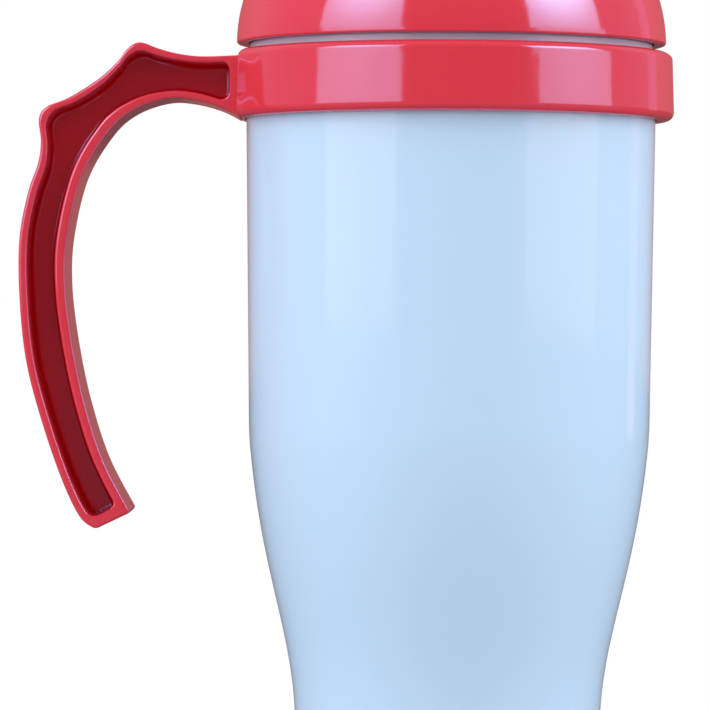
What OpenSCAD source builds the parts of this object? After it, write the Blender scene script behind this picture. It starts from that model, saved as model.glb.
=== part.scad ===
// Insulated travel mug: double-walled cup with a narrow foot, a ring-and-handle
// moulding round its top and a screw lid with a sliding drink shutter.
// Millimetres. Z is the mug's axis, z = 0 is the table, the handle reaches
// towards -X and the drink hole is on the -Y side.

/* [Body] */
// Outside diameter of the body at its rim
body_d = 85; // [76:1:102]
// Height of the body's rim above the table
body_h = 152.5; // [127:0.5:185]
// How much the radius shrinks from the rim down to the waist
waist_taper = 1.05; // [0.6:0.05:3]
// Height of the waist, where the body starts to narrow
waist_z = 75.5; // [62:0.5:92]
// Outside diameter of the narrow foot, which stands in a cup holder
foot_d = 63.4; // [52:0.2:74]
// Height of the narrow foot
foot_z = 18; // [16:0.5:26]
// Lean of the wall just under the waist, in degrees
waist_lean = 4.5; // [1:0.5:8]
// Lean of the wall just above the foot, in degrees
foot_lean = 3; // [1:0.5:6]
// Wall of the outer shell
shell_t = 2; // [1.6:0.1:2.4]
// Thickness of the insulating foam
foam_t = 3; // [2:0.1:4]
// Wall of the inner liner
liner_t = 1.6; // [1.2:0.1:2.2]

/* [Base] */
// Height of the base cap's visible rim
cap_rim_h = 2; // [1.5:0.1:3]
// Length of the spigot that plugs into the shell
cap_spigot_h = 6.8; // [6:0.1:9]
// Thickness of the non-slip foot pad
pad_t = 2; // [1.5:0.1:3]
// How far the foot pad stands out under the base cap
pad_proud = 1.2; // [0.8:0.1:1.6]

/* [Ring and handle] */
// Height of the ring
ring_h = 14.1; // [13:0.1:20]
// Thickness of the ring at its lower edge
ring_t = 3.6; // [3:0.1:5]
// How much the ring's outside narrows towards its top
ring_draft = 0.4; // [0:0.1:1]
// Width of the handle across its two open sides
handle_w = 22; // [18:0.5:28]
// Usual thickness of the handle's outer rim, which thins towards the ring
handle_outer_rim = 1.8; // [1.4:0.1:2.6]
// Usual thickness of the handle's inner rim, which thins towards the ring
handle_inner_rim = 2.2; // [1.4:0.1:2.6]
// Thickness of the web between the handle's two side pockets
handle_web = 3; // [2:0.2:5]

/* [Neck and thread] */
// Height of the neck above its flange
neck_h = 9.1; // [8.8:0.1:12]
// Wall of the neck
neck_t = 2; // [1.6:0.1:2.4]
// Height of a thread rib
thread_depth = 1.4; // [1.0:0.1:1.6]
// Width of a thread rib at its root
thread_w = 1.8; // [1.4:0.1:2.2]
// Rise of the lid in one whole turn
thread_lead = 10; // [8:0.5:12]
// Radial clearance of the screw thread
thread_gap = 0.5; // [0.4:0.05:0.6]

/* [Lid] */
// Visible gap between ring and lid
lid_gap = 1.5; // [1:0.1:2.5]
// How far the lid stands out past the body
lid_overhang = 1.9; // [1.5:0.1:3]
// Radius of the lid's domed side
dome_r = 32.5; // [30:0.5:40]
// Angle at which the dome turns into the rim, in degrees
dome_angle = 38; // [34:1:42]
// Radius of the rounded rim round the lid's top
bead_r = 2; // [1.5:0.1:2.5]
// Depth of the recessed deck below the rim
deck_depth = 6; // [5:0.1:7]
// Wall of the lid
lid_t = 2; // [1.6:0.1:2.4]
// Diameter of the drink hole
sip_d = 8; // [6:0.5:9]
// Diameter of the vent hole
vent_d = 1.6; // [1:0.1:2.5]
// Height of the silicone gasket
gasket_h = 2; // [1.5:0.1:2.5]

/* [Slide] */
// Travel of the slide from closed to open
slide_travel = 12; // [9:0.5:13]
// Width of the slide
slide_w = 14; // [12:0.5:18]
// Thickness of the slide's plate
slide_t = 2; // [1.6:0.1:2.4]
// Side of the slide's square stem
stem_w = 4; // [3:0.1:5]

/* [Fits] */
// Clearance between pieces that are pushed together and stay put
push_gap = 0.1; // [0.05:0.05:0.2]
// Clearance between pieces that move past each other
move_gap = 0.3; // [0.25:0.05:0.5]
// Clearance round the foam pieces
foam_gap = 0.2; // [0.1:0.05:0.4]

/* [Hidden] */
$fn = 96;
eps = 0.01;

// Body levels and radii
body_r = body_d / 2;
waist_r = body_r - waist_taper;
foot_r = foot_d / 2;
foot_taper = 0.3;
base_r = foot_r - foot_taper;
shell_z = pad_proud + cap_rim_h;

// Base cap
spigot_top_z = shell_z + cap_spigot_h;
cap_spigot_r = base_r - shell_t - push_gap;
cap_wall = 2.2;
pad_r = base_r - 5;
seal_depth = 1.2;
seal_h = 2;
base_seal_z = shell_z + 2.4;

// Liner
liner_floor_z = spigot_top_z + 2;
liner_corner = 5;
spigot_r = body_r - shell_t - 0.35;
spigot_h = 11.5;
spigot_blend = 5.5;
neck_seal_z = body_h - 7.5;

// Ring and neck stack
lip_t = 1.4;
lip_z = body_h + lip_t;
flange_t = 2;
flange_z = lip_z + flange_t;
flange_r = body_r - 0.9;
ring_top_z = lip_z + 0.5;
ring_z = ring_top_z - ring_h;
ring_bore_r = body_r + push_gap;
ring_r = ring_bore_r + ring_t;
flat_depth = 0.555 * ring_t;
flat_x = ring_r - flat_depth;
end_rim = 1.3;
neck_r = flange_r - thread_depth - 0.9;
neck_in_r = neck_r - neck_t;
neck_z = flange_z + neck_h;

// Thread: two starts, each a rib of a little under half a turn
thread_starts = 2;
neck_rib_turn = 168;
lid_rib_turn = 104;
rib_gap = 0.35;
neck_rib_z = flange_z + 2.5;
lid_rib_start = 58;
lid_bore_r = neck_r + thread_depth + thread_gap;
lid_crest_r = neck_r + thread_gap;

// Lid: its dome is lifted where a taller neck needs the room
lid_z = ring_top_z + lid_gap;
gasket_z = neck_z;
flange_seat_z = gasket_z + gasket_h;
lid_r = body_r + lid_overhang;
skirt_bore_r = flange_r + 0.4;
seat_room = lid_z + (dome_r - bead_r) * sin(dome_angle) + bead_r - deck_depth - lid_t - flange_seat_z;
dome_c = [lid_r - dome_r, lid_z + max(0, 1.4 - seat_room)];
bead_c = dome_c + (dome_r - bead_r) * [cos(dome_angle), sin(dome_angle)];
lid_top_z = bead_c[1] + bead_r;
deck_z = lid_top_z - deck_depth;
deck_under_z = deck_z - lid_t;
deck_r = bead_c[0] - bead_r - 0.5;
plug_r = neck_in_r - 0.6;
plug_t = 1.8;
plug_h = 5.5;
plug_z = flange_seat_z - plug_h;
core_flange_r = lid_crest_r - 0.2;
core_floor_t = 1.5;
sip_y = -(deck_r - sip_d / 2 - 4.4);
vent_y = deck_r - 7.4;
boss_wall = 1.8;

// Slide
pad_seal_r = sip_d / 2 + 1.3;
slide_front_y = sip_y - pad_seal_r - 1.2;
slide_z = deck_z + 0.6;
stem_y = sip_y + sip_d / 2 + 7;
slide_back_y = stem_y + stem_w / 2 + slide_travel + 3;
clip_t = 1.3;
clip_z = deck_under_z - 0.5 - clip_t;
barb_h = 0.9;

// Colours
pale_blue = [0.78, 0.89, 0.98];
red = [0.86, 0.17, 0.25];
lilac_grey = [0.66, 0.62, 0.74];
foam_white = [0.93, 0.92, 0.88];
silicone = [0.86, 0.87, 0.88];
dark_rubber = [0.16, 0.16, 0.18];

// ---- shared functions and shapes ----

// Points on an arc about c, from angle a0 to a1
function arc(c, r, a0, a1, n = 10) =
    [for (i = [0:n]) c + r * [cos(a0 + (a1 - a0) * i / n), sin(a0 + (a1 - a0) * i / n)]];

// Cubic Bezier curve as n + 1 points
function bezier(a, b, c, d, n) =
    [for (i = [0:n]) let (t = i / n, u = 1 - t)
        u * u * u * a + 3 * u * u * t * b + 3 * u * t * t * c + t * t * t * d];

// Smooth curve through every point of p, n steps between two points
function smooth(p, n) =
    concat([for (i = [0:len(p) - 2]) for (k = [0:n - 1])
                let (t = k / n, a = p[max(i - 1, 0)], b = p[i], c = p[i + 1],
                     d = p[min(i + 2, len(p) - 1)])
                0.5 * (2 * b + (c - a) * t + (2 * a - 5 * b + 4 * c - d) * t * t
                       + (3 * b - a - 3 * c + d) * t * t * t)],
           [p[len(p) - 1]]);

// Outside of the body, from its lower edge up to its rim, as [radius, z].
// The narrowing from waist to foot is one S-shaped Bezier curve.
waist_pull = 0.49 * (waist_z - foot_z);
foot_pull = 0.31 * (waist_z - foot_z);
body_line = concat([[base_r, shell_z]],
    bezier([foot_r, foot_z],
           [foot_r, foot_z] + foot_pull * [sin(foot_lean), cos(foot_lean)],
           [waist_r, waist_z] - waist_pull * [sin(waist_lean), cos(waist_lean)],
           [waist_r, waist_z], 16),
    [[body_r, body_h]]);
body_table = [for (p = body_line) [p[1], p[0]]];

// The body's outside moved inwards by d, between two heights
function wall_line(d, z0, z1) =
    concat([[lookup(z0, body_table) - d, z0]],
           [for (p = body_line) if (p[1] > z0 + eps && p[1] < z1 - eps) [p[0] - d, p[1]]],
           [[lookup(z1, body_table) - d, z1]]);

function reversed(p) = [for (i = [len(p) - 1:-1:0]) p[i]];

// Ring of rectangular section
module hoop(r_in, r_out, z, h) {
    translate([0, 0, z])
        difference() {
            cylinder(r = r_out, h = h);
            translate([0, 0, -1]) cylinder(r = r_in, h = h + 2);
        }
}

// Screw rib: a tapered section carried up a helix of the thread's lead.
// It grows out of a wall of radius r_wall to r_crest and fades out at both ends.
module thread_rib(r_wall, r_crest, z, from, turn) {
    outward = r_crest > r_wall;
    bury = outward ? -0.4 : 0.4;
    n = ceil(turn / 6);
    fade = 3;
    points = [for (i = [0:n]) let (a = from + turn * i / n, f = min(1, i / fade, (n - i) / fade),
                                   r = r_wall + (r_crest - r_wall) * f, w = thread_w / 2,
                                   zc = z + thread_lead * turn * i / n / 360)
                for (q = [[r_wall + bury, -w], [r, -w * 0.55], [r, w * 0.55], [r_wall + bury, w]])
                    [q[0] * cos(a), q[0] * sin(a), zc + q[1]]];
    sides = [for (i = [0:n - 1]) for (k = [0:3])
                let (a = 4 * i + k, b = 4 * i + (k + 1) % 4, c = b + 4, d = a + 4)
                each (outward ? [[a, c, d], [a, b, c]] : [[a, d, c], [a, c, b]])];
    first = outward ? [[2, 1, 0], [3, 2, 0]] : [[0, 1, 2], [0, 2, 3]];
    e = 4 * n;
    last = outward ? [[e, e + 1, e + 2], [e, e + 2, e + 3]] : [[e + 2, e + 1, e], [e + 3, e + 2, e]];
    polyhedron(points = points, faces = concat(sides, first, last));
}

// ---- the cup ----

module outer_shell() {
    color(pale_blue)
        rotate_extrude()
            polygon(concat(body_line, reversed(wall_line(shell_t, shell_z, body_h))));
}

module base_cap() {
    edge = 0.8;
    color(pale_blue)
        difference() {
            rotate_extrude()
                polygon(concat([[0, pad_proud]], arc([base_r - edge, pad_proud + edge], edge, -90, 0, 6),
                    [[base_r, shell_z], [cap_spigot_r, shell_z], [cap_spigot_r, spigot_top_z],
                     [cap_spigot_r - cap_wall, spigot_top_z], [cap_spigot_r - cap_wall, shell_z],
                     [0, shell_z]]));
            hoop(cap_spigot_r - seal_depth, base_r, base_seal_z, seal_h);
            translate([0, 0, -1]) cylinder(r = pad_r + push_gap, h = pad_t + 1);
        }
}

module base_seal() {
    color(silicone)
        hoop(cap_spigot_r - seal_depth, base_r - shell_t, base_seal_z, seal_h);
}

module foot_pad() {
    color(dark_rubber)
        difference() {
            cylinder(r = pad_r, h = pad_t);
            for (r = [pad_r - 4, pad_r - 8])
                hoop(r - 1, r, -1, 1.5);
        }
}

module insulation_sleeve() {
    top_z = body_h - spigot_h - spigot_blend - 1;
    outer = wall_line(shell_t + foam_gap, spigot_top_z + foam_gap, top_z);
    inner = wall_line(shell_t + foam_t - foam_gap, spigot_top_z + foam_gap, top_z);
    color(foam_white)
        rotate_extrude() polygon(concat(outer, reversed(inner)));
}

module base_insulation() {
    room_r = min(cap_spigot_r - cap_wall, lookup(spigot_top_z, body_table) - shell_t - foam_t);
    color(foam_white)
        translate([0, 0, shell_z])
            cylinder(r = room_r - foam_gap, h = liner_floor_z - shell_z - foam_gap);
}

module inner_liner() {
    out_d = shell_t + foam_t;
    in_d = out_d + liner_t;
    side_z = liner_floor_z + liner_corner;
    side_r = lookup(side_z, body_table) - out_d;
    spigot_z = body_h - spigot_h;
    blend_z = spigot_z - spigot_blend;
    lip_r = 0.5;
    outer = concat([[0, liner_floor_z]],
        arc([side_r - liner_corner, side_z], liner_corner, -90, 0, 8),
        wall_line(out_d, side_z + 1, blend_z),
        [[spigot_r, spigot_z], [spigot_r, lip_z], [flange_r, lip_z], [flange_r, flange_z - lip_r],
         [flange_r - lip_r, flange_z], [neck_r, flange_z], [neck_r, neck_z - lip_r],
         [neck_r - lip_r, neck_z]]);
    inner = concat([[neck_in_r + lip_r, neck_z], [neck_in_r, neck_z - lip_r], [neck_in_r, spigot_z]],
        reversed(wall_line(in_d, side_z + 1, blend_z)),
        reversed(arc([side_r - liner_corner, side_z], liner_corner - liner_t, -90, 0, 8)),
        [[0, liner_floor_z + liner_t]]);
    color(lilac_grey) {
        difference() {
            rotate_extrude() polygon(concat(outer, inner));
            hoop(spigot_r - seal_depth, body_r, neck_seal_z, seal_h);
        }
        for (s = [0:thread_starts - 1])
            thread_rib(neck_r, neck_r + thread_depth, neck_rib_z, s * 360 / thread_starts, neck_rib_turn);
    }
}

module neck_seal() {
    color(silicone)
        hoop(spigot_r - seal_depth, lookup(neck_seal_z, body_table) - shell_t, neck_seal_z, seal_h);
}

// ---- ring and handle, one moulding ----

// Both edges of the handle seen from the front, as [distance out from the
// body's rim, distance down from the ring's top], starting at the ring.
outer_edge = [[1, 1.4], [8.5, 1.7], [13.5, 1.2], [17.5, 0.2], [21.4, -1.1], [23.9, 0.1],
              [26.1, 2.9], [30, 6.5], [36, 10.3], [40.5, 12.2], [42.1, 14.6], [41.7, 19.1],
              [42.2, 23.6], [44.3, 29.9], [46, 39.4], [45.9, 51.4], [44.5, 64.2], [41.3, 76.4],
              [37, 88.7], [33.3, 96.2], [30.1, 98.7]];
inner_edge = [[1, 14.1], [5, 12.1], [10.5, 10.65], [16, 10.45], [22.6, 12.7], [27.7, 17.1],
              [33.1, 26.2], [36, 38.4], [36.4, 48.4], [35, 60], [32.4, 72.3], [28.4, 84.6],
              [22.8, 95.2]];

function placed(p) = [for (q = p) [-body_r - q[0], ring_top_z - q[1]]];

// Rim thickness as [point of the edge, share of the usual thickness]
outer_share = [[0, 0.72], [2, 0.75], [4.2, 1], [5.5, 0.83], [7, 0.78], [9.5, 1.05], [12, 0.97], [20, 1]];
inner_share = [[0, 1.7], [0.5, 1.35], [1, 0.72], [3, 0.7], [4.5, 1.05], [12, 0.95]];

module handle_outline() {
    polygon(concat(placed(smooth(outer_edge, 4)), reversed(placed(smooth(inner_edge, 5)))));
}

// A handle edge moved sideways by the rim's thickness; side is 1 for the left
// of the way from ring to tip and -1 for the right
function rim_line(edge, n, rim, share, side) =
    let (p = placed(smooth(edge, n)), last = len(p) - 1)
        [for (i = [0:last])
            let (d = p[min(i + 1, last)] - p[max(i - 1, 0)])
                p[i] + side * rim * lookup(i / n, share) * [-d[1], d[0]] / norm(d)];

// The handle less its rims all round, with rounded corners
module pocket_outline() {
    round_r = 1.2;
    tip = placed([outer_edge[len(outer_edge) - 1], inner_edge[len(inner_edge) - 1]]);
    slope = tip[1] - tip[0];
    offset(r = round_r)
        offset(delta = -round_r)
            difference() {
                polygon(concat(rim_line(outer_edge, 4, handle_outer_rim, outer_share, 1),
                               reversed(rim_line(inner_edge, 5, handle_inner_rim, inner_share, -1))));
                translate([-flat_x - end_rim, ring_z - 1]) square([ring_r, ring_h + 2]);
                translate(tip[0])
                    rotate(atan2(slope[1], slope[0]))
                        translate([-5, -10]) square([20, 10 + handle_outer_rim]);
            }
}

// The ring, with a flat on the side where the handle grows out of it. The
// ring's rounded edges follow the flat.
module ring_band() {
    low = 1.7;
    high = 1.6;
    top_r = ring_r - ring_draft;
    outside = concat(arc([ring_r - low, ring_z + low], low, -90, 0, 6),
        [for (a = [0:15:90]) [top_r - 1.5 * high * (1 - cos(a)), ring_top_z - high * (1 - sin(a))]]);
    far = -ring_r - 5;
    difference() {
        rotate_extrude()
            polygon(concat([[ring_bore_r - 2.5, ring_z]], outside,
                [[flange_r + 0.15, ring_top_z], [flange_r + 0.15, lip_z],
                 [spigot_r + 0.45, lip_z], [spigot_r + 0.45, ring_z + 5]]));
        rotate([90, 0, 0])
            linear_extrude(height = 2 * ring_r, center = true)
                polygon(concat([[far, ring_z - 1], [flat_depth - outside[0][0], ring_z - 1]],
                    [for (p = outside) [flat_depth - p[0], p[1]]],
                    [[flat_depth - outside[13][0], ring_top_z + 1], [far, ring_top_z + 1]]));
    }
}

module handle_collar() {
    pocket = (handle_w - handle_web) / 2;
    color(red)
        difference() {
            union() {
                ring_band();
                rotate([90, 0, 0]) linear_extrude(height = handle_w, center = true) handle_outline();
            }
            translate([0, 0, ring_z - 1]) cylinder(r = ring_bore_r, h = body_h - ring_z + 1);
            for (side = [-1, 1])
                translate([0, side * (handle_web + pocket) / 2, 0])
                    rotate([90, 0, 0])
                        linear_extrude(height = pocket + eps, center = true) pocket_outline();
        }
}

// ---- the lid ----

module lid_gasket() {
    color(silicone)
        hoop(plug_r + move_gap, neck_r - 0.1, gasket_z, gasket_h);
}

module lid_shell() {
    foot = 0.5;
    inner_dome = dome_r - lid_t;
    hollow_a0 = asin((deck_under_z - dome_c[1]) / inner_dome);
    outside = concat([[skirt_bore_r, lid_z]], [[lid_r - foot, lid_z], [lid_r, lid_z + foot]],
        arc(dome_c, dome_r, 2, dome_angle, 12), arc(bead_c, bead_r, dome_angle + 15, 165, 9),
        [[deck_r + 0.6, deck_z + 0.8], [deck_r, deck_z], [0, deck_z]]);
    inside = concat([[0, deck_under_z], [deck_r + lid_t, deck_under_z],
        [deck_r + lid_t + 0.3, deck_z + 1.5]],
        arc(dome_c, inner_dome, dome_angle - 7, hollow_a0, 4),
        [[lid_crest_r, deck_under_z], [lid_crest_r, neck_z - 0.4], [lid_bore_r, neck_z - 1],
         [lid_bore_r, flange_z + 0.8], [skirt_bore_r, flange_z + 0.8]]);
    rail_w = 1.2;
    rail_h = 1.6;
    rail_x = slide_w / 2 + move_gap;
    color(red)
        difference() {
            union() {
                rotate_extrude() polygon(concat(outside, inside));
                for (s = [0:thread_starts - 1])
                    thread_rib(lid_bore_r, lid_crest_r,
                        neck_rib_z - thread_w - rib_gap + thread_lead * lid_rib_start / 360,
                        lid_rib_start + s * 360 / thread_starts, lid_rib_turn);
                for (side = [-1, 1])
                    translate([side * (rail_x + rail_w / 2) - rail_w / 2, slide_front_y + 2, deck_z - eps])
                        cube([rail_w, slide_back_y - slide_front_y + slide_travel - 2, rail_h]);
            }
            translate([0, sip_y, deck_under_z - 1]) cylinder(d = sip_d, h = lid_t + 2);
            translate([0, vent_y, deck_under_z - 1]) cylinder(d = vent_d, h = lid_t + 2);
            translate([-stem_w / 2 - move_gap, stem_y - stem_w / 2 - move_gap, deck_under_z - 1])
                cube([stem_w + 2 * move_gap, stem_w + slide_travel + 2 * move_gap, lid_t + 2]);
        }
}

module lid_core() {
    color(lilac_grey)
        difference() {
            union() {
                hoop(plug_r - plug_t - 0.9, core_flange_r, flange_seat_z, deck_under_z - flange_seat_z);
                hoop(plug_r - plug_t, plug_r, plug_z, plug_h + eps);
                translate([0, 0, plug_z]) cylinder(r = plug_r - eps, h = core_floor_t);
                for (b = [[sip_y, sip_d], [vent_y, vent_d]])
                    translate([0, b[0], plug_z])
                        cylinder(d = b[1] + 2 * boss_wall, h = deck_under_z - plug_z);
            }
            for (b = [[sip_y, sip_d], [vent_y, vent_d]])
                translate([0, b[0], plug_z - 1]) cylinder(d = b[1], h = deck_under_z - plug_z + 2);
        }
}

module lid_insulation() {
    foam_z = plug_z + core_floor_t + push_gap;
    color(foam_white)
        difference() {
            translate([0, 0, foam_z])
                cylinder(r = plug_r - plug_t - 1, h = clip_z - barb_h - 0.4 - foam_z);
            for (b = [[sip_y, sip_d], [vent_y, vent_d]])
                translate([0, b[0], plug_z]) cylinder(d = b[1] + 2 * boss_wall + 2 * foam_gap, h = 20);
        }
}

// ---- the slide ----

module slider() {
    length = slide_back_y - slide_front_y;
    corner = 3;
    grip_y = stem_y + 2;
    color(red)
        difference() {
            union() {
                translate([0, 0, slide_z])
                    linear_extrude(height = slide_t)
                        union() {
                            translate([-slide_w / 2 + corner, slide_front_y])
                                square([slide_w - 2 * corner, length]);
                            translate([-slide_w / 2, slide_front_y + corner])
                                square([slide_w, length - 2 * corner]);
                            for (x = [-1, 1], y = [slide_front_y + corner, slide_back_y - corner])
                                translate([x * (slide_w / 2 - corner), y]) circle(r = corner);
                        }
                for (k = [0:2])
                    translate([0, grip_y + 3 * k, slide_z + slide_t - 0.2])
                        rotate([0, 90, 0]) cylinder(r = 1.3, h = slide_w - 4, center = true);
                translate([-stem_w / 2, stem_y - stem_w / 2, clip_z - barb_h])
                    cube([stem_w, stem_w, slide_z - clip_z + barb_h + eps]);
                translate([-stem_w / 2 - 0.7, stem_y - stem_w / 2, clip_z - barb_h])
                    cube([stem_w + 1.4, stem_w, barb_h]);
            }
            translate([0, sip_y, slide_z - 1]) cylinder(r = pad_seal_r + push_gap, h = 1 + slide_t / 2);
        }
}

module slider_seal() {
    color(silicone)
        translate([0, sip_y, deck_z + push_gap])
            cylinder(r = pad_seal_r, h = slide_z - deck_z + slide_t / 2 - push_gap);
}

module slider_clip() {
    clip_w = stem_w + 5;
    color(silicone)
        difference() {
            translate([-clip_w / 2, stem_y - clip_w / 2 + 0.5, clip_z]) cube([clip_w, clip_w - 1, clip_t]);
            translate([-stem_w / 2 - push_gap, stem_y - stem_w / 2 - push_gap, clip_z - 1])
                cube([stem_w + 2 * push_gap, stem_w + 2 * push_gap, clip_t + 2]);
        }
}

outer_shell();
base_cap();
base_seal();
foot_pad();
insulation_sleeve();
base_insulation();
inner_liner();
neck_seal();
handle_collar();
lid_gasket();
lid_shell();
lid_core();
lid_insulation();
slider();
slider_seal();
slider_clip();
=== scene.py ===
"""Looks of an insulated travel mug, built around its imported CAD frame.

Every shape is a surface worked out with numpy: a profile turned about the mug's
axis, or a section carried along a path. Lengths are metres, +Z is up and the
handle reaches towards -X.
"""
import math

import bpy
import numpy as np
from bpy.props import FloatProperty, FloatVectorProperty, IntProperty, PointerProperty
from mathutils import Matrix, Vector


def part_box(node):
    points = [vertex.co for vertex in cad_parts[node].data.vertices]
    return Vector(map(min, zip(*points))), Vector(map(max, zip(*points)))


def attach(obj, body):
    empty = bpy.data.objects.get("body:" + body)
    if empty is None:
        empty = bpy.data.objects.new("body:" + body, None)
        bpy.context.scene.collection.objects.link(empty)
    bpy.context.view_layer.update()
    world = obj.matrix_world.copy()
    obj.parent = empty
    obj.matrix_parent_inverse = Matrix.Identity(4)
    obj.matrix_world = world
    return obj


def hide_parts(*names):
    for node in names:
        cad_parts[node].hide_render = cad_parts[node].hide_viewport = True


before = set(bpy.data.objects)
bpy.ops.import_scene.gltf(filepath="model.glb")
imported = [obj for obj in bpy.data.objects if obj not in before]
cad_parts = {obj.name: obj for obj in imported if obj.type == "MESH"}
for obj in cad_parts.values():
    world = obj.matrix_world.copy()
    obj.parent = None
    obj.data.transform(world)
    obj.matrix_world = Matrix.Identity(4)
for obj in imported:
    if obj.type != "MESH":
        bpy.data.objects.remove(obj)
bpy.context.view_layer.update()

bl_info = {
    "name": "Travel mug looks",
    "version": (1, 0, 0),
    "blender": (4, 5, 0),
    "location": "View3D > Sidebar > Mug",
    "description": "Builds the visible pieces of an insulated travel mug around its CAD frame",
    "category": "Add Mesh",
}

MM = 0.001
TURN = 2 * math.pi
ROUND_STEPS = 160

# Places that the frame gives
SHELL_LOW, SHELL_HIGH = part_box("outer_shell")
CAP_LOW, CAP_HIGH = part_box("base_cap")
PAD_LOW, PAD_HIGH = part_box("foot_pad")
LINER_LOW, LINER_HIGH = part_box("inner_liner")
COLLAR_LOW, COLLAR_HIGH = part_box("handle_collar")
LID_LOW, LID_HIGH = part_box("lid_shell")
GASKET_LOW, GASKET_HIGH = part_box("lid_gasket")
CORE_LOW, CORE_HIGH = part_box("lid_core")
SLIDE_LOW, SLIDE_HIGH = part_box("slider")
SEAL_LOW, SEAL_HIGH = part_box("slider_seal")
CLIP_LOW, CLIP_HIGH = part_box("slider_clip")


# ---- sizes and colours a user would change ----

def length(name, description, default):
    """A length in metres, from its value in millimetres."""
    return FloatProperty(name=name, description=description, default=default * MM, unit="LENGTH")


def angle(name, description, degrees):
    """An angle, from its value in degrees."""
    return FloatProperty(
        name=name, description=description, default=math.radians(degrees), subtype="ANGLE"
    )


def colour(name, description, value):
    """A linear colour."""
    return FloatVectorProperty(
        name=name, description=description, default=value, size=3, min=0, max=1, subtype="COLOR"
    )


class MugBodySizes(bpy.types.PropertyGroup):
    """Sizes of the double-walled body and its base."""

    waist_taper: length("Waist taper", "How much the radius shrinks from rim to waist", 1.05)
    waist_z: length("Waist height", "Height where the body starts to narrow", 75.5)
    waist_lean: angle("Waist lean", "Lean of the wall just under the waist", 4.5)
    waist_round: length("Waist blend", "Length over which the wall turns at the waist", 5)
    foot_r: length("Foot radius", "Radius of the narrow foot at its top", 31.7)
    foot_z: length("Foot height", "Height of the narrow foot", 18)
    foot_lean: angle("Foot lean", "Lean of the wall just above the foot", 3)
    shell_wall: length("Shell wall", "Wall of the outer shell", 2)
    foam: length("Foam", "Thickness of the insulating foam", 3)
    liner_wall: length("Liner wall", "Wall of the inner liner", 1.6)
    edge: length("Edge rounding", "Rounding of the base's edges", 0.6)


class MugNeckSizes(bpy.types.PropertyGroup):
    """Sizes of the neck and its screw thread."""

    neck_r: length("Neck radius", "Outside radius of the neck", 39.3)
    neck_wall: length("Neck wall", "Wall of the neck", 2)
    flange_top: length("Flange top", "Height of the flange under the neck", 156.15)
    flange_h: length("Flange thickness", "Thickness of that flange", 2)
    thread_depth: length("Thread depth", "Height of a thread rib", 1.4)
    thread_w: length("Thread width", "Width of a thread rib at its root", 1.8)
    thread_lead: length("Thread lead", "Rise of the lid in one turn", 10)
    thread_z: length("Thread start", "Height where the neck's ribs start", 158.4)
    thread_gap: length("Thread clearance", "Radial clearance of the thread", 0.5)


class MugCollarSizes(bpy.types.PropertyGroup):
    """Sizes of the ring and its handle."""

    ring_top: length("Ring top", "Height of the ring's top", 154.4)
    ring_h: length("Ring height", "Height of the ring", 14.1)
    ring_draft: length("Ring draft", "How much the ring narrows towards its top", 0.4)
    ring_low: length("Lower rounding", "Rounding of the ring's lower edge", 1.7)
    ring_high: length("Upper rounding", "Height of the ring's rounded upper edge", 1.6)
    ring_ease: length("Upper rounding width", "Width of the ring's rounded upper edge", 2.4)
    flat: length("Flat", "Depth of the flat that the handle grows out of", 2.0)
    end_rim: length("End rim", "From the flat to the near end of a pocket", 1.3)
    width: length("Handle width", "Width of the handle across its open sides", 22)
    web: length("Web", "Thickness of the web between the side pockets", 3)
    outer_rim: length("Outer rim", "Usual thickness of the handle's outer rim", 1.8)
    inner_rim: length("Inner rim", "Usual thickness of the handle's inner rim", 2.2)
    edge: length("Handle edge", "Rounding of the handle's outside edges", 0.65)
    rim_edge: length("Rim edge", "Rounding where a rim turns into the pocket", 0.6)
    floor_edge: length("Floor fillet", "Fillet at the bottom of the pocket", 0.9)
    draft: length("Pocket draft", "How far a pocket wall leans in", 0.35)
    corner: length("Pocket corner", "Rounding of the pocket's corners", 1.8)
    fillet: length("Root fillet", "Fillet between ring and the handle's side faces", 0.12)


class MugLidSizes(bpy.types.PropertyGroup):
    """Sizes of the lid and its slide."""

    dome_r: length("Dome radius", "Radius of the lid's domed side", 32.5)
    dome_angle: angle("Dome angle", "Angle at which the dome turns into the rim", 38)
    bead_r: length("Rim radius", "Radius of the rounded rim", 2)
    deck_depth: length("Deck depth", "Depth of the recessed deck below the rim", 6)
    wall: length("Lid wall", "Wall of the lid", 2)
    sip_d: length("Drink hole", "Diameter of the drink hole", 8)
    vent_d: length("Vent hole", "Diameter of the vent hole", 1.6)
    travel: length("Slide travel", "Travel of the slide", 12)
    stem_w: length("Stem", "Side of the slide's square stem", 4)
    corner: length("Slide corner", "Corner radius of the slide's plate", 3)
    plate_t: length("Slide plate", "Thickness of the slide's plate", 2)


class MugFinishes(bpy.types.PropertyGroup):
    """Colours and gloss of the finishes."""

    body: colour("Body", "Pale blue of the body", (0.50, 0.69, 0.90))
    collar: colour("Red", "Red of ring, handle and lid", (0.76, 0.044, 0.066))
    # The liner's lilac grey is painted shade and painted red bounce light; the liner itself is a lighter plastic
    liner: colour("Liner", "Lilac grey of the liner", (0.55, 0.50, 0.67))
    silicone: colour("Silicone", "Milky silicone of the seals", (0.66, 0.68, 0.70))
    rubber: colour("Rubber", "Dark rubber of the foot pad", (0.03, 0.03, 0.034))
    foam: colour("Foam", "Foam of the insulation", (0.85, 0.83, 0.78))
    gloss: FloatProperty(name="Gloss", description="Roughness of the glossy plastic", default=0.07)


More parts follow.
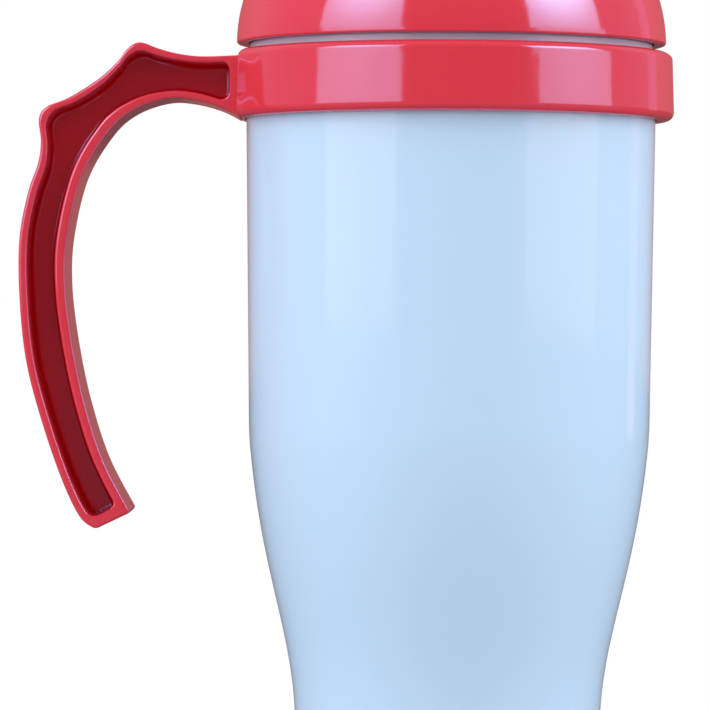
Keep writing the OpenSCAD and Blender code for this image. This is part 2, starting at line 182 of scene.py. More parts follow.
class MugStudio(bpy.types.PropertyGroup):
    """Camera, lights and floor."""

    distance: length("Distance", "Camera to the mug's axis", 900)
    aside: length("Aside", "How far the camera stands towards the handle", 19.57)
    height: length("Height", "Camera height above the table", 100)
    picture_z: length("Picture centre", "Height at the picture's centre", 91.6)
    picture_w: length("Picture width", "Width of the mug's plane that the picture takes in", 147.2)
    roll: angle("Roll", "Roll of the camera", 0.33)
    sky: FloatProperty(name="Sky", description="Brightness of the surroundings", default=0.9)
    floor_r: length("Floor radius", "Radius of the round floor", 4000)


# ---- profiles and curves ----

def arc(centre, radius, start, end, count):
    """Points centre + radius (cos a, sin a), for count angles from start to end."""
    a = np.linspace(start, end, count)[:, None]
    return np.asarray(centre) + radius * np.hstack([np.cos(a), np.sin(a)])


def bezier(a, b, c, d, count):
    """Cubic Bezier: the mean of four points, weighted with the binomials of t and 1 - t."""
    a, b, c, d = (np.asarray(p, float) for p in (a, b, c, d))
    t = np.linspace(0, 1, count)[:, None]
    s = 1 - t
    return s**3 * a + 3 * s * s * t * b + 3 * s * t * t * c + t**3 * d


def through(points, count):
    """Smooth curve through points: the cubic whose slope at a point is half the step between
    its two neighbours. count samples lie between two points; the last point closes the curve."""
    p = np.asarray(points, float)
    before = np.vstack([p[:1], p[:-2]])
    after = np.vstack([p[2:], p[-1:]])
    a, b, c, d = (q[:, None, :] for q in (before, p[:-1], p[1:], after))
    t = (np.arange(count) / count)[None, :, None]
    curve = 0.5 * (2 * b + (c - a) * t + (2 * a - 5 * b + 4 * c - d) * t**2
                   + (3 * b - a - 3 * c + d) * t**3)
    return np.vstack([curve.reshape(-1, 2), p[-1:]])


def rounded(corners, closed=True, steps=6):
    """Line through corners given as (r, z, rounding). Each corner is replaced by the arc that
    touches both its sides: it starts rounding x tan(turn / 2) before the corner."""
    line = []
    count = len(corners)
    for i, (r, z, size) in enumerate(corners):
        here = np.array([r, z])
        at_end = not closed and i in (0, count - 1)
        if at_end or size <= 0:
            line.append(here[None])
            continue
        back = np.array(corners[i - 1][:2]) - here
        on = np.array(corners[(i + 1) % count][:2]) - here
        back /= np.linalg.norm(back)
        on /= np.linalg.norm(on)
        half = math.acos(np.clip(back @ on, -1, 1)) / 2
        reach = size / math.tan(half)
        centre = here + (back + on) / np.linalg.norm(back + on) * size / math.sin(half)
        first = here + back * reach - centre
        last = here + on * reach - centre
        t = np.linspace(0, 1, steps + 1)[:, None]
        sweep = math.pi - 2 * half
        mix = (np.sin((1 - t) * sweep) * first + np.sin(t * sweep) * last) / math.sin(sweep)
        line.append(centre + mix)
    return np.vstack(line)


def spaced(line, step):
    """The line with points added so that no stretch is longer than step."""
    parts = []
    for a, b in zip(line[:-1], line[1:]):
        n = max(1, math.ceil(np.linalg.norm(b - a) / step))
        t = (np.arange(n) / n)[:, None]
        parts.append(a + (b - a) * t)
    parts.append(line[-1:])
    return np.vstack(parts)


# ---- surfaces ----

def grid_faces(rows, columns, wrap_rows, wrap_columns):
    """Quads of a grid of rows x columns points, joined end to end where it wraps."""
    i = np.arange(rows if wrap_rows else rows - 1)[:, None]
    j = np.arange(columns if wrap_columns else columns - 1)[None, :]
    i2 = (i + 1) % rows
    j2 = (j + 1) % columns
    quads = np.stack([i * columns + j, i2 * columns + j, i2 * columns + j2, i * columns + j2], -1)
    return quads.reshape(-1, 4)


def turned(profile, steps=ROUND_STEPS):
    """Surface of revolution: each (r, z) of the profile at (r cos a, r sin a, z). A profile whose
    ends lie on the axis gets one pole point at each; any other profile is a closed loop."""
    profile = np.asarray(profile, float)
    a = np.arange(steps) / steps * TURN
    on_axis = profile[0, 0] < 1e-7 and profile[-1, 0] < 1e-7
    ring = profile[1:-1] if on_axis else profile
    r, z = ring[:, :1], ring[:, 1:]
    points = np.stack([r * np.cos(a), r * np.sin(a), np.broadcast_to(z, (len(ring), steps))], -1)
    verts = points.reshape(-1, 3)
    quads = grid_faces(len(ring), steps, not on_axis, True)
    faces = quads.tolist()
    if on_axis:
        poles = np.array([[0, 0, profile[0, 1]], [0, 0, profile[-1, 1]]])
        verts = np.vstack([verts, poles])
        j = np.arange(steps)
        j2 = (j + 1) % steps
        low = len(verts) - 2
        base = (len(ring) - 1) * steps
        faces += np.stack([np.full(steps, low), j, j2], -1).tolist()
        faces += np.stack([np.full(steps, low + 1), base + j2, base + j], -1).tolist()
    closed = profile if on_axis else np.vstack([profile, profile[:1]])
    area = np.sum(closed[:-1, 0] * closed[1:, 1] - closed[1:, 0] * closed[:-1, 1])
    if area > 0:
        faces = [f[::-1] for f in faces]
    return verts, faces


def carried(sections, outward=True):
    """Closed tube: sections is rows x columns x 3, one closed loop a row, capped at both ends."""
    rows, columns = sections.shape[:2]
    faces = grid_faces(rows, columns, False, True).tolist()
    faces.append(list(range(columns)))
    faces.append(list(range((rows - 1) * columns, rows * columns))[::-1])
    if not outward:
        faces = [f[::-1] for f in faces]
    return sections.reshape(-1, 3), faces


def joined(*solids):
    """Several (points, faces) as one."""
    verts, faces, start = [], [], 0
    for points, polygons in solids:
        verts.append(np.asarray(points, float))
        faces += [[start + k for k in f] for f in polygons]
        start += len(points)
    return np.vstack(verts), faces


def piece(name, solid, smooth=True):
    """A mesh object at the origin, its faces smooth unless smooth is False."""
    points, faces = solid
    mesh = bpy.data.meshes.new(name)
    mesh.from_pydata(points.tolist(), [], faces)
    mesh.validate()
    mesh.shade_smooth() if smooth else mesh.shade_flat()
    made = bpy.data.objects.new(name, mesh)
    bpy.context.scene.collection.objects.link(made)
    return made


def soften(made, degrees=40):
    """Marks edges that turn by more than degrees sharp, and weights the normals by face area."""
    made.data.set_sharp_from_angle(angle=math.radians(degrees))
    weights = made.modifiers.new("weighted normals", "WEIGHTED_NORMAL")
    weights.keep_sharp = True
    weights.weight = 100
    return made


def carve(made, cutters):
    """Takes closed cutter pieces out of a closed piece, then removes them."""
    for cutter in cutters:
        cut = made.modifiers.new("cut", "BOOLEAN")
        cut.operation = "DIFFERENCE"
        cut.solver = "EXACT"
        cut.object = cutter
    graph = bpy.context.evaluated_depsgraph_get()
    mesh = bpy.data.meshes.new_from_object(made.evaluated_get(graph))
    made.modifiers.clear()
    made.data = mesh
    for cutter in cutters:
        bpy.data.objects.remove(cutter)
    return made


def put(made, body, slot, finish, *nodes):
    """Gives a piece its finish, its body and the CAD nodes that it stands for."""
    made.data.materials.clear()
    made.data.materials.append(finish)
    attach(made, body)
    if nodes:
        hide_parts(*nodes)
    return made


# ---- finishes ----

def moulded_surface():
    """Shader group of every moulded piece: faint cloudy colour, uneven gloss and a fine grain."""
    found = bpy.data.node_groups.get("moulded surface")
    if found:
        return found
    group = bpy.data.node_groups.new("moulded surface", "ShaderNodeTree")
    for name, kind, value in (
        ("Colour", "NodeSocketColor", (0.5, 0.5, 0.5, 1)),
        ("Cloud colour", "NodeSocketColor", (0.5, 0.5, 0.5, 1)),
        ("Cloud scale", "NodeSocketFloat", 30),
        ("Roughness", "NodeSocketFloat", 0.1),
        ("Roughness spread", "NodeSocketFloat", 0.05),
        ("Grain scale", "NodeSocketFloat", 900),
        ("Grain height", "NodeSocketFloat", 0.02),
    ):
        socket = group.interface.new_socket(name, in_out="INPUT", socket_type=kind)
        socket.default_value = value
    for name, kind in (
        ("Colour", "NodeSocketColor"), ("Roughness", "NodeSocketFloat"), ("Normal", "NodeSocketVector"),
    ):
        group.interface.new_socket(name, in_out="OUTPUT", socket_type=kind)
    add, link = group.nodes.new, group.links.new
    given, out = add("NodeGroupInput"), add("NodeGroupOutput")
    place = add("ShaderNodeTexCoord")
    cloud = add("ShaderNodeTexNoise")
    cloud.inputs["Detail"].default_value = 3
    link(place.outputs["Object"], cloud.inputs["Vector"])
    link(given.outputs["Cloud scale"], cloud.inputs["Scale"])
    tint = add("ShaderNodeMix")
    tint.data_type = "RGBA"
    link(cloud.outputs["Fac"], tint.inputs["Factor"])
    link(given.outputs["Colour"], tint.inputs["A"])
    link(given.outputs["Cloud colour"], tint.inputs["B"])
    link(tint.outputs["Result"], out.inputs["Colour"])
    uneven = add("ShaderNodeMath")
    uneven.operation = "MULTIPLY_ADD"
    link(cloud.outputs["Fac"], uneven.inputs[0])
    link(given.outputs["Roughness spread"], uneven.inputs[1])
    link(given.outputs["Roughness"], uneven.inputs[2])
    link(uneven.outputs[0], out.inputs["Roughness"])
    grain = add("ShaderNodeTexNoise")
    grain.inputs["Detail"].default_value = 2
    link(place.outputs["Object"], grain.inputs["Vector"])
    link(given.outputs["Grain scale"], grain.inputs["Scale"])
    bump = add("ShaderNodeBump")
    bump.inputs["Distance"].default_value = MM
    link(given.outputs["Grain height"], bump.inputs["Strength"])
    link(grain.outputs["Fac"], bump.inputs["Height"])
    link(bump.outputs["Normal"], out.inputs["Normal"])
    return group


def moulded(name, base, cloud, roughness, spread, grain, height, cloud_scale=30, **shader):
    """A material whose colour, gloss and normal come from the moulded surface group. shader
    holds values for the Principled shader's own sockets."""
    found = bpy.data.materials.get(name)
    if found:
        return found
    material = bpy.data.materials.new(name)
    material.use_nodes = True
    nodes, link = material.node_tree.nodes, material.node_tree.links.new
    principled = nodes["Principled BSDF"]
    surface = nodes.new("ShaderNodeGroup")
    surface.node_tree = moulded_surface()
    surface.inputs["Colour"].default_value = (*base, 1)
    surface.inputs["Cloud colour"].default_value = (*cloud, 1)
    surface.inputs["Cloud scale"].default_value = cloud_scale
    surface.inputs["Roughness"].default_value = roughness
    surface.inputs["Roughness spread"].default_value = spread
    surface.inputs["Grain scale"].default_value = grain
    surface.inputs["Grain height"].default_value = height
    link(surface.outputs["Colour"], principled.inputs["Base Color"])
    link(surface.outputs["Roughness"], principled.inputs["Roughness"])
    link(surface.outputs["Normal"], principled.inputs["Normal"])
    for socket, value in shader.items():
        principled.inputs[socket.replace("_", " ")].default_value = value
    return material


def shade(base, factor):
    """A colour made lighter or darker."""
    return tuple(min(1.0, c * factor) for c in base)


def pale_plastic():
    """Glossy pale blue of the body."""
    look = bpy.context.scene.mug_finishes
    return moulded("pale blue plastic", look.body, shade(look.body, 0.985), look.gloss, 0.03,
                   260, 0.012, cloud_scale=14, Specular_IOR_Level=0.55)


def red_plastic():
    """Glossy red of lid and slide."""
    look = bpy.context.scene.mug_finishes
    return moulded("red plastic", look.collar, shade(look.collar, 0.95), look.gloss, 0.04,
                   300, 0.015, cloud_scale=20, IOR=1.8, Specular_IOR_Level=1.0,
                   Specular_Tint=(0.15, 0.6, 1.0, 1))


def red_handle_plastic():
    """Red of ring and handle: glossy outside, with a duller pocket whose darker red is painted shade. The piece's
    own
    'pocket' attribute, 0 outside and 1 on a pocket's floor, mixes the two."""
    look = bpy.context.scene.mug_finishes
    made = moulded("red handle plastic", look.collar, shade(look.collar, 0.95), look.gloss, 0.04,
                   300, 0.015, cloud_scale=20, IOR=1.8, Specular_IOR_Level=1.0,
                   Specular_Tint=(0.15, 0.6, 1.0, 1))
    nodes, link = made.node_tree.nodes, made.node_tree.links.new
    if nodes.get("pocket"):
        return made
    principled = nodes["Principled BSDF"]
    rough = principled.inputs["Roughness"].links[0].from_socket
    pocket_shade_and_gloss_mask = nodes.new("ShaderNodeAttribute")
    pocket_shade_and_gloss_mask.name = "pocket"
    pocket_shade_and_gloss_mask.attribute_name = "pocket"
    dull = nodes.new("ShaderNodeMath")
    dull.operation = "MULTIPLY_ADD"
    dull.inputs[1].default_value = 0.04
    link(pocket_shade_and_gloss_mask.outputs["Fac"], dull.inputs[0])
    link(rough, dull.inputs[2])
    link(dull.outputs[0], principled.inputs["Roughness"])
    colour = principled.inputs["Base Color"].links[0].from_socket
    # Painted shade: the pocket's floor gets a darker, deeper red that stands in for the shade inside the recess
    deep = nodes.new("ShaderNodeMix")
    deep.data_type = "RGBA"
    deep.inputs["B"].default_value = (0.62, 0.003, 0.004, 1)
    link(pocket_shade_and_gloss_mask.outputs["Fac"], deep.inputs["Factor"])
    link(colour, deep.inputs["A"])
    link(deep.outputs["Result"], principled.inputs["Base Color"])
    return made


def liner_plastic():
    """Satin liner plastic. Its lilac grey is painted shade and painted red bounce light from the red ring and lid,
    on a lighter plastic.
    """
    look = bpy.context.scene.mug_finishes
    return moulded("liner plastic", look.liner, shade(look.liner, 0.93), 0.22, 0.08, 420, 0.03)


def silicone():
    """Milky silicone of seals and gasket."""
    look = bpy.context.scene.mug_finishes
    return moulded("silicone", look.silicone, shade(look.silicone, 0.92), 0.42, 0.12, 700, 0.05)


def foot_rubber():
    """Dark matt rubber of the foot pad."""
    look = bpy.context.scene.mug_finishes
    return moulded("foot rubber", look.rubber, shade(look.rubber, 1.6), 0.62, 0.2, 900, 0.25)


def foam():
    """Closed-cell foam of the insulation."""
    look = bpy.context.scene.mug_finishes
    return moulded("foam", look.foam, shade(look.foam, 0.85), 0.85, 0.1, 500, 0.6)


# ---- the body ----

def body_line():
    """Outside of the body as (r, z), from its lower edge to its rim: a straight foot, one
    S-shaped Bezier curve from foot to waist, then a straight wall that widens to the rim. The
    last of the curve and the first of the wall are one more short Bezier, which softens the
    turn at the waist."""
    s = bpy.context.scene.mug_body
    rim_r = SHELL_HIGH.x
    waist = np.array([rim_r - s.waist_taper, s.waist_z])
    foot = np.array([s.foot_r, s.foot_z])
    rise = s.waist_z - s.foot_z
    low = foot + 0.31 * rise * np.array([math.sin(s.foot_lean), math.cos(s.foot_lean)])
    high = waist - 0.49 * rise * np.array([math.sin(s.waist_lean), math.cos(s.waist_lean)])
    curve = bezier(foot, low, high, waist, 90)
    rim = np.array([rim_r, SHELL_HIGH.z])
    half = s.waist_round / 2
    below = waist - half * np.array([math.sin(s.waist_lean), math.cos(s.waist_lean)])
    up = (rim - waist) / np.linalg.norm(rim - waist)
    turn = bezier(below, (below + waist) / 2, waist + up * half / 2, waist + up * half, 9)
    keep = curve[curve[:, 1] < below[1] - 0.2 * MM]
    base_r = CAP_HIGH.x
    return np.vstack([[[base_r, SHELL_LOW.z]], keep, turn, rim[None]])


def moved_in(line, depth, low, high):
    """The part of a line between two heights, moved towards the axis by depth."""
    z = line[:, 1]
    inside = line[(z > low + 1e-5) & (z < high - 1e-5)]
    ends = np.interp([low, high], z, line[:, 0])
    kept = np.vstack([[[ends[0], low]], inside, [[ends[1], high]]])
    return kept - np.array([depth, 0])


class MUG_OT_outer_shell(bpy.types.Operator):
    """Turns the outer shell"""

    bl_idname = "mug.outer_shell"
    bl_label = "Outer shell"

    def execute(self, context):
        s = context.scene.mug_body
        outside = spaced(body_line(), 3 * MM)
        edge = 0.25 * MM
        outside[0] += [-edge, 0]
        outside = np.insert(outside, 1, outside[0] + [edge, edge], axis=0)
        inside = moved_in(body_line(), s.shell_wall, SHELL_LOW.z, SHELL_HIGH.z)
        made = piece("body_shell", turned(np.vstack([outside, spaced(inside, 6 * MM)[::-1]]), 256))
        put(soften(made), "cup", "body_plastic", pale_plastic(), "outer_shell")
        return {"FINISHED"}


class MUG_OT_base(bpy.types.Operator):
    """Turns the base cap and the non-slip foot pad"""

    bl_idname = "mug.base"
    bl_label = "Base cap and foot pad"

    def execute(self, context):
        s = context.scene.mug_body
        cap_r, pad_r = CAP_HIGH.x, PAD_HIGH.x
        joint_z = SHELL_LOW.z - 0.12 * MM
        spigot_r = cap_r - s.shell_wall - 0.1 * MM
        inner_r = spigot_r - 2.2 * MM
        cap = rounded([
            (0, PAD_HIGH.z, 0), (pad_r + 0.15 * MM, PAD_HIGH.z, 0), (pad_r + 0.15 * MM, CAP_LOW.z, 0.2 * MM),
            (cap_r - 0.05 * MM, CAP_LOW.z, s.edge), (cap_r - 0.05 * MM, joint_z, 0.2 * MM),
            (spigot_r, joint_z, 0), (spigot_r, CAP_HIGH.z, 0.3 * MM), (inner_r, CAP_HIGH.z, 0.3 * MM),
            (inner_r, joint_z, 0), (0, joint_z, 0),
        ], closed=False)
        made = piece("base_rim", turned(spaced(cap, 2 * MM), 256))
        put(soften(made), "cup", "body_plastic", pale_plastic(), "base_cap")

        groove = 0.5 * MM
        corners = [(0, PAD_LOW.z, 0)]
        for r in (pad_r - 9 * MM, pad_r - 5 * MM):
            corners += [(r, PAD_LOW.z, 0.15 * MM), (r, PAD_LOW.z + groove, 0.15 * MM),
                        (r + MM, PAD_LOW.z + groove, 0.15 * MM), (r + MM, PAD_LOW.z, 0.15 * MM)]
        corners += [(pad_r, PAD_LOW.z, 0.4 * MM), (pad_r, PAD_HIGH.z - 0.05 * MM, 0),
                    (0, PAD_HIGH.z - 0.05 * MM, 0)]
        pad = piece("non_slip_pad", turned(rounded(corners, closed=False, steps=4), 192))
        put(soften(pad), "cup", "foot_rubber", foot_rubber(), "foot_pad")
        return {"FINISHED"}


def helical_rib(wall_r, crest_r, z, start, turn_degrees, bury):
    """Thread rib: a tapered section carried up a helix, r = section's r and
    z = start height + lead x angle / full turn. Its height fades with the sine of the distance
    from either end."""
    s = bpy.context.scene.mug_neck
    a = np.radians(np.linspace(0, turn_degrees, 90))
    fade = np.clip(np.minimum(a, a[-1] - a) / math.radians(14), 0, 1)
    fade = np.sin(fade * math.pi / 2)[:, None]
    half = s.thread_w / 2
    across = np.array([-1, -0.72, -0.5, -0.2, 0.2, 0.5, 0.72, 1])
    height = np.array([0, 0.72, 0.95, 1, 1, 0.95, 0.72, 0])
    r = wall_r + (crest_r - wall_r) * height * np.maximum(fade, 0.02)
    r = np.hstack([np.full((len(a), 1), wall_r + bury), r, np.full((len(a), 1), wall_r + bury)])
    up = np.concatenate([[-1], across, [1]]) * half
    zz = z + s.thread_lead * a[:, None] / TURN + up
    turned_by = a[:, None] + math.radians(start)
    sections = np.stack([r * np.cos(turned_by), r * np.sin(turned_by), zz], -1)
    return carried(sections, outward=crest_r < wall_r)


class MUG_OT_liner(bpy.types.Operator):
    """Turns the inner liner with its flange and threaded neck"""

    bl_idname = "mug.liner"
    bl_label = "Inner liner"

    def execute(self, context):
        b, n = context.scene.mug_body, context.scene.mug_neck
        line = body_line()
        out_d = b.shell_wall + b.foam
        in_d = out_d + b.liner_wall
        floor, corner = LINER_LOW.z, 5 * MM
        side_z = floor + corner + MM
        spigot_r = SHELL_HIGH.x - b.shell_wall - 0.35 * MM
        spigot_z = SHELL_HIGH.z - 11.5 * MM
        blend_z = spigot_z - 5.5 * MM
        flange_r = LINER_HIGH.x if LINER_HIGH.x < SHELL_HIGH.x else SHELL_HIGH.x - 0.9 * MM
        flange_low = n.flange_top - n.flange_h
        neck_in = n.neck_r - n.neck_wall
        top = LINER_HIGH.z
        outer = moved_in(line, out_d, side_z, blend_z)
        inner = moved_in(line, in_d, side_z, blend_z)
        low_out = rounded([(0, floor, 0), (outer[0, 0], floor, corner), (*outer[0], 0)], closed=False)
        low_in = rounded([(0, floor + b.liner_wall, 0), (inner[0, 0], floor + b.liner_wall, corner - b.liner_wall),
                          (*inner[0], 0)], closed=False)
        up_out = rounded([
            (*outer[-1], 0), (spigot_r, spigot_z, 0), (spigot_r, flange_low, 0),
            (flange_r, flange_low, 0.2 * MM), (flange_r, n.flange_top, 0.5 * MM),
            (n.neck_r, n.flange_top, 0.5 * MM), (n.neck_r, top, 0.6 * MM),
            (neck_in, top, 0.6 * MM), (neck_in, spigot_z, 4 * MM), (*inner[-1], 0),
        ], closed=False)
        profile = np.vstack([low_out[:-1], outer, up_out[1:-1], inner[::-1], low_in[::-1][1:]])
        ribs = [helical_rib(n.neck_r, n.neck_r + n.thread_depth, n.thread_z, start, 168, -0.4 * MM)
                for start in (0, 180)]
        made = piece("liner_and_neck", joined(turned(spaced(profile, 3 * MM), 192), *ribs))
        put(soften(made), "cup", "liner_plastic", liner_plastic(), "inner_liner")
        return {"FINISHED"}


# ---- ring and handle ----

# Both edges of the handle as millimetres (out from the body's rim, down from the ring's top)
OUTER_EDGE = [(1, 1.4), (8.5, 1.7), (13.5, 1.2), (17.5, 0.2), (21.4, -1.1), (23.9, 0.1), (26.1, 2.9),
              (30, 6.5), (36, 10.3), (40.5, 12.2), (42.1, 14.6), (41.7, 19.1), (42.2, 23.6),
              (44.3, 29.9), (46, 39.4), (45.9, 51.4), (44.5, 64.2), (41.3, 76.4), (37, 88.7),
              (33.3, 96.2), (30.1, 98.7)]
INNER_EDGE = [(1, 14.1), (5, 12.1), (10.5, 10.65), (16, 10.45), (22.6, 12.7), (27.7, 17.1), (33.1, 26.2),
              (36, 38.4), (36.4, 48.4), (35, 60), (32.4, 72.3), (28.4, 84.6), (22.8, 95.2)]
# Which point of the inner edge faces which point of the outer edge
FACING = [(0, 0), (1, 1.7), (2, 2.6), (4, 3.7), (5, 4.0), (7, 4.7), (9, 5.2), (10, 5.55), (11, 5.9),
          (12, 6.2), (13, 6.6), (14, 7.15), (15, 8.25), (16, 9.3), (17, 10.2), (18, 11.2), (20, 12)]
# Thickness of either rim at a point of its edge, as a share of the usual thickness
OUTER_SHARE = [(0, 0.72), (2, 0.75), (4.2, 1), (5.5, 0.83), (7, 0.78), (9.5, 1.05), (12, 0.97), (20, 1)]
INNER_SHARE = [(0, 1.7), (0.5, 1.35), (1, 0.72), (3, 0.7), (4.5, 1.05), (12, 0.95)]


def handle_edges(rows):
    """Facing points of the handle's outer and inner edge at distances along it, and the
    thickness of either rim there. rows gives the distances for the whole length."""
    s = bpy.context.scene.mug_collar
    steps = 24
    outer, inner = through(OUTER_EDGE, steps), through(INNER_EDGE, steps)
    station = np.linspace(0, len(OUTER_EDGE) - 1, 4000)
    facing = np.interp(station, *np.array(FACING, float).T)
    o = np.stack([np.interp(station, np.arange(len(outer)) / steps, outer[:, k]) for k in (0, 1)], -1)
    i = np.stack([np.interp(facing, np.arange(len(inner)) / steps, inner[:, k]) for k in (0, 1)], -1)
    middle = (o + i) / 2
    walked = np.concatenate([[0], np.cumsum(np.linalg.norm(np.diff(middle, axis=0), axis=1))])
    walked *= MM
    at = rows(walked[-1])
    place = np.array([SHELL_HIGH.x, -s.ring_top])
    o, i = (-place - np.stack([np.interp(at, walked, e[:, k]) for k in (0, 1)], -1) * MM for e in (o, i))
    rims = [usual * np.interp(np.interp(at, walked, where), *np.array(share, float).T)
            for usual, where, share in ((s.outer_rim, station, OUTER_SHARE), (s.inner_rim, facing, INNER_SHARE))]
    return at, walked[-1], o, i, rims


def quarter(radius, distance):
    """How far a rounded edge of that radius lies inside, at a distance from the end."""
    t = np.clip(radius - distance, 0, radius)
    return radius - np.sqrt(radius**2 - t**2)


def handle_solid():
    """Handle: an I-shaped section carried from the ring to the tip. A point of the section is
    (a + b x thickness) along the line from the outer to the inner edge, and y across the
    handle. Near the pocket's two ends its depth falls to nothing and its corners close in on a
    quarter circle; the tip's edges are rounded in the same way."""
    s = bpy.context.scene.mug_collar
    half, web = s.width / 2, s.web / 2
    ring_r = COLLAR_HIGH.x
    root_end = ring_r - s.flat + s.end_rim - SHELL_HIGH.x - MM
    tip_end = 2.3 * MM

    def rows(total):
        ends = [root_end + np.linspace(-0.4, 2.2, 22) * MM, total - tip_end - np.linspace(-0.4, 2.2, 22) * MM,
                total - np.linspace(0, 1, 9) ** 2 * 1.2 * MM]
        return np.unique(np.concatenate([np.linspace(0, total, 260), *ends]))

    at, total, outer, inner, rims = handle_edges(rows)
    thick = np.linalg.norm(inner - outer, axis=1)[:, None]
    along = (inner - outer) / thick

    # Quarter of the section from the outer face to the middle of the pocket's floor:
    # distance from the outer edge, y, share of the pocket's depth, and how much it is a pocket
    rim = s.outer_rim
    e, c, f = s.edge, s.rim_edge, s.floor_edge
    q = np.linspace(0, math.pi / 2, 7)

    def side(rim):
        """Points from the face's middle to the floor: (inwards, depth below the side face)."""
        face = [(0, half * (1 - t)) for t in (0, 0.5, 0.8)]
        edge = [(e * (1 - math.cos(a)), e * (1 - math.sin(a))) for a in q]
        top = [(rim - c, 0)]
        lip = [(rim - c + c * math.sin(a), c * (1 - math.cos(a))) for a in q[1:]]
        deep = half - web
        wall = [(rim + s.draft * t, c + (deep - c - f) * t) for t in (0.3, 0.6, 1)]
        fillet = [(rim + s.draft + f * (1 - math.cos(a)), deep - f + f * math.sin(a)) for a in q[1:]]
        return np.array(face + edge + top + lip + wall + fillet)

    near, far = side(rim), side(s.inner_rim)
    closes = quarter(s.corner, np.minimum(at - root_end, total - tip_end - at))[:, None]
    closes = np.clip(closes, 0, s.corner)
    t = np.clip(np.minimum(at - root_end, total - tip_end - at) / (0.9 * MM), 0, 1)[:, None]
    depth = t * t * (3 - 2 * t)
    tip = quarter(e, total - at)[:, None]

    def half_loop(points, usual, rim):
        """Distance along the section and depth for each row, for one of the two rims."""
        inwards = np.broadcast_to(points[:, 0], (len(at), len(points))).copy()
        deep = np.broadcast_to(points[:, 1], inwards.shape).copy()
        number = np.arange(len(points))
        inwards += np.where(number > 9, rim[:, None] - usual, 0)
        inwards += np.where(number > 10, closes, 0)
        inwards = np.minimum(inwards, thick * (0.48 - 0.004 * (number[-1] - number)))
        deep = np.where(number > 10, deep * depth, deep)
        inwards += tip * (1 - np.clip(inwards / (thick / 2), 0, 1))
        y = half - deep - np.where(deep < half - web, tip, 0)
        return inwards, np.maximum(y, 0)

    a1, y1 = half_loop(near, s.outer_rim, rims[0])
    a2, y2 = half_loop(far, s.inner_rim, rims[1])
    floor_t = np.array([0.25, 0.5, 0.75])
    start, end = a1[:, -1:], thick - a2[:, -1:]
    mid = start + (end - start) * floor_t
    ymid = np.broadcast_to(y1[:, -1:], mid.shape)
    dist = np.hstack([a1, mid, thick - a2[:, ::-1]])
    y = np.hstack([y1, ymid, y2[:, ::-1]])
    # The front half runs from outer to inner face at -y, the back half returns at +y
    dist = np.hstack([dist, dist[:, ::-1][:, 1:-1]])
    y = np.hstack([-y, y[:, ::-1][:, 1:-1]])
    xz = outer[:, None, :] + along[:, None, :] * dist[..., None]

    # Fillet: within its radius of the ring's flat the section widens by a quarter circle
    gap = -xz[..., 0] - (ring_r - s.flat - s.ring_draft / 2)
    grow = quarter(s.fillet, np.maximum(gap, 0))
    y = y + np.sign(y) * np.where(np.abs(y) > half - e, grow, 0)
    sections = np.stack([xz[..., 0], y, xz[..., 1]], -1)
    # Pocket mask: 1 on a pocket's floor, where the red finish paints shade and makes the gloss duller
    pocket = np.clip((half - np.abs(y) - 0.8 * MM) / (2 * MM), 0, 1)
    pocket = pocket * ((dist > rims[0][:, None] - 0.2 * MM) & (dist < thick - rims[1][:, None] + 0.2 * MM))
    return carried(sections, outward=False), pocket.reshape(-1)


class MUG_OT_collar(bpy.types.Operator):
    """Turns the ring and carries the handle's section along its path"""

    bl_idname = "mug.collar"
    bl_label = "Ring and handle"

    def execute(self, context):
        s, n = context.scene.mug_collar, context.scene.mug_neck
        bore = SHELL_HIGH.x + 0.1 * MM
        low_r, high_r = COLLAR_HIGH.x, COLLAR_HIGH.x - s.ring_draft
        bottom = s.ring_top - s.ring_h
        seat_r = SHELL_HIGH.x - 0.75 * MM
        lip_r = SHELL_HIGH.x - 1.9 * MM
        seat_z = n.flange_top - n.flange_h
        under = rounded([(bore, bottom, 0.3 * MM), (low_r, bottom, s.ring_low),
                         (high_r, s.ring_top - s.ring_high, 0)], steps=10, closed=False)
        a = np.linspace(0, math.pi / 2, 14)[:, None]
        over = np.hstack([high_r - s.ring_ease * (1 - np.cos(a)), s.ring_top - s.ring_high * (1 - np.sin(a))])
        seat = np.array([[seat_r, s.ring_top], [seat_r, seat_z], [lip_r, seat_z], [lip_r, SHELL_HIGH.z],
                         [bore, SHELL_HIGH.z]])
        ring = np.vstack([under[:-1], over, seat, under[:1]])
        points, faces = turned(spaced(ring, 2 * MM)[:-1], 360)
        # The flat: no point lies further to -X than its own radius less the flat's depth
        r = np.hypot(points[:, 0], points[:, 1])
        edge = np.where(r > bore + MM / 20, np.maximum(r - s.flat, bore), r)
        points[:, 0] = np.maximum(points[:, 0], -edge)
        ring_solid = points, faces
        handle, pocket = handle_solid()
        made = piece("ring_and_handle", joined(ring_solid, handle))
        # The 'pocket' attribute marks where the finish paints shade into the pocket and dulls its gloss
        values = np.concatenate([np.zeros(len(ring_solid[0])), pocket])
        pocket_shade_and_gloss_mask = made.data.attributes.new("pocket", "FLOAT", "POINT")
        pocket_shade_and_gloss_mask.data.foreach_set("value", values.astype(np.float32))
        put(soften(made, 50), "cup", "red_plastic", red_handle_plastic(), "handle_collar")
        return {"FINISHED"}


# ---- the lid ----

def upright(outline, low, high):
    """Straight-sided solid over a closed outline, between two heights."""
    rows = np.stack([np.column_stack([outline, np.full(len(outline), z)]) for z in (low, high)])
    return carried(rows, outward=False)


def disc(radius, centre_y, steps=64):
    """Circle about (0, centre_y)."""
    a = np.arange(steps) / steps * TURN
    return np.column_stack([radius * np.cos(a), centre_y + radius * np.sin(a)])


def rounded_box(x0, x1, y0, y1, corner, steps=8):
    """Outline of a rectangle with round corners."""
    return rounded([(x0, y0, corner), (x1, y0, corner), (x1, y1, corner), (x0, y1, corner)], steps=steps)


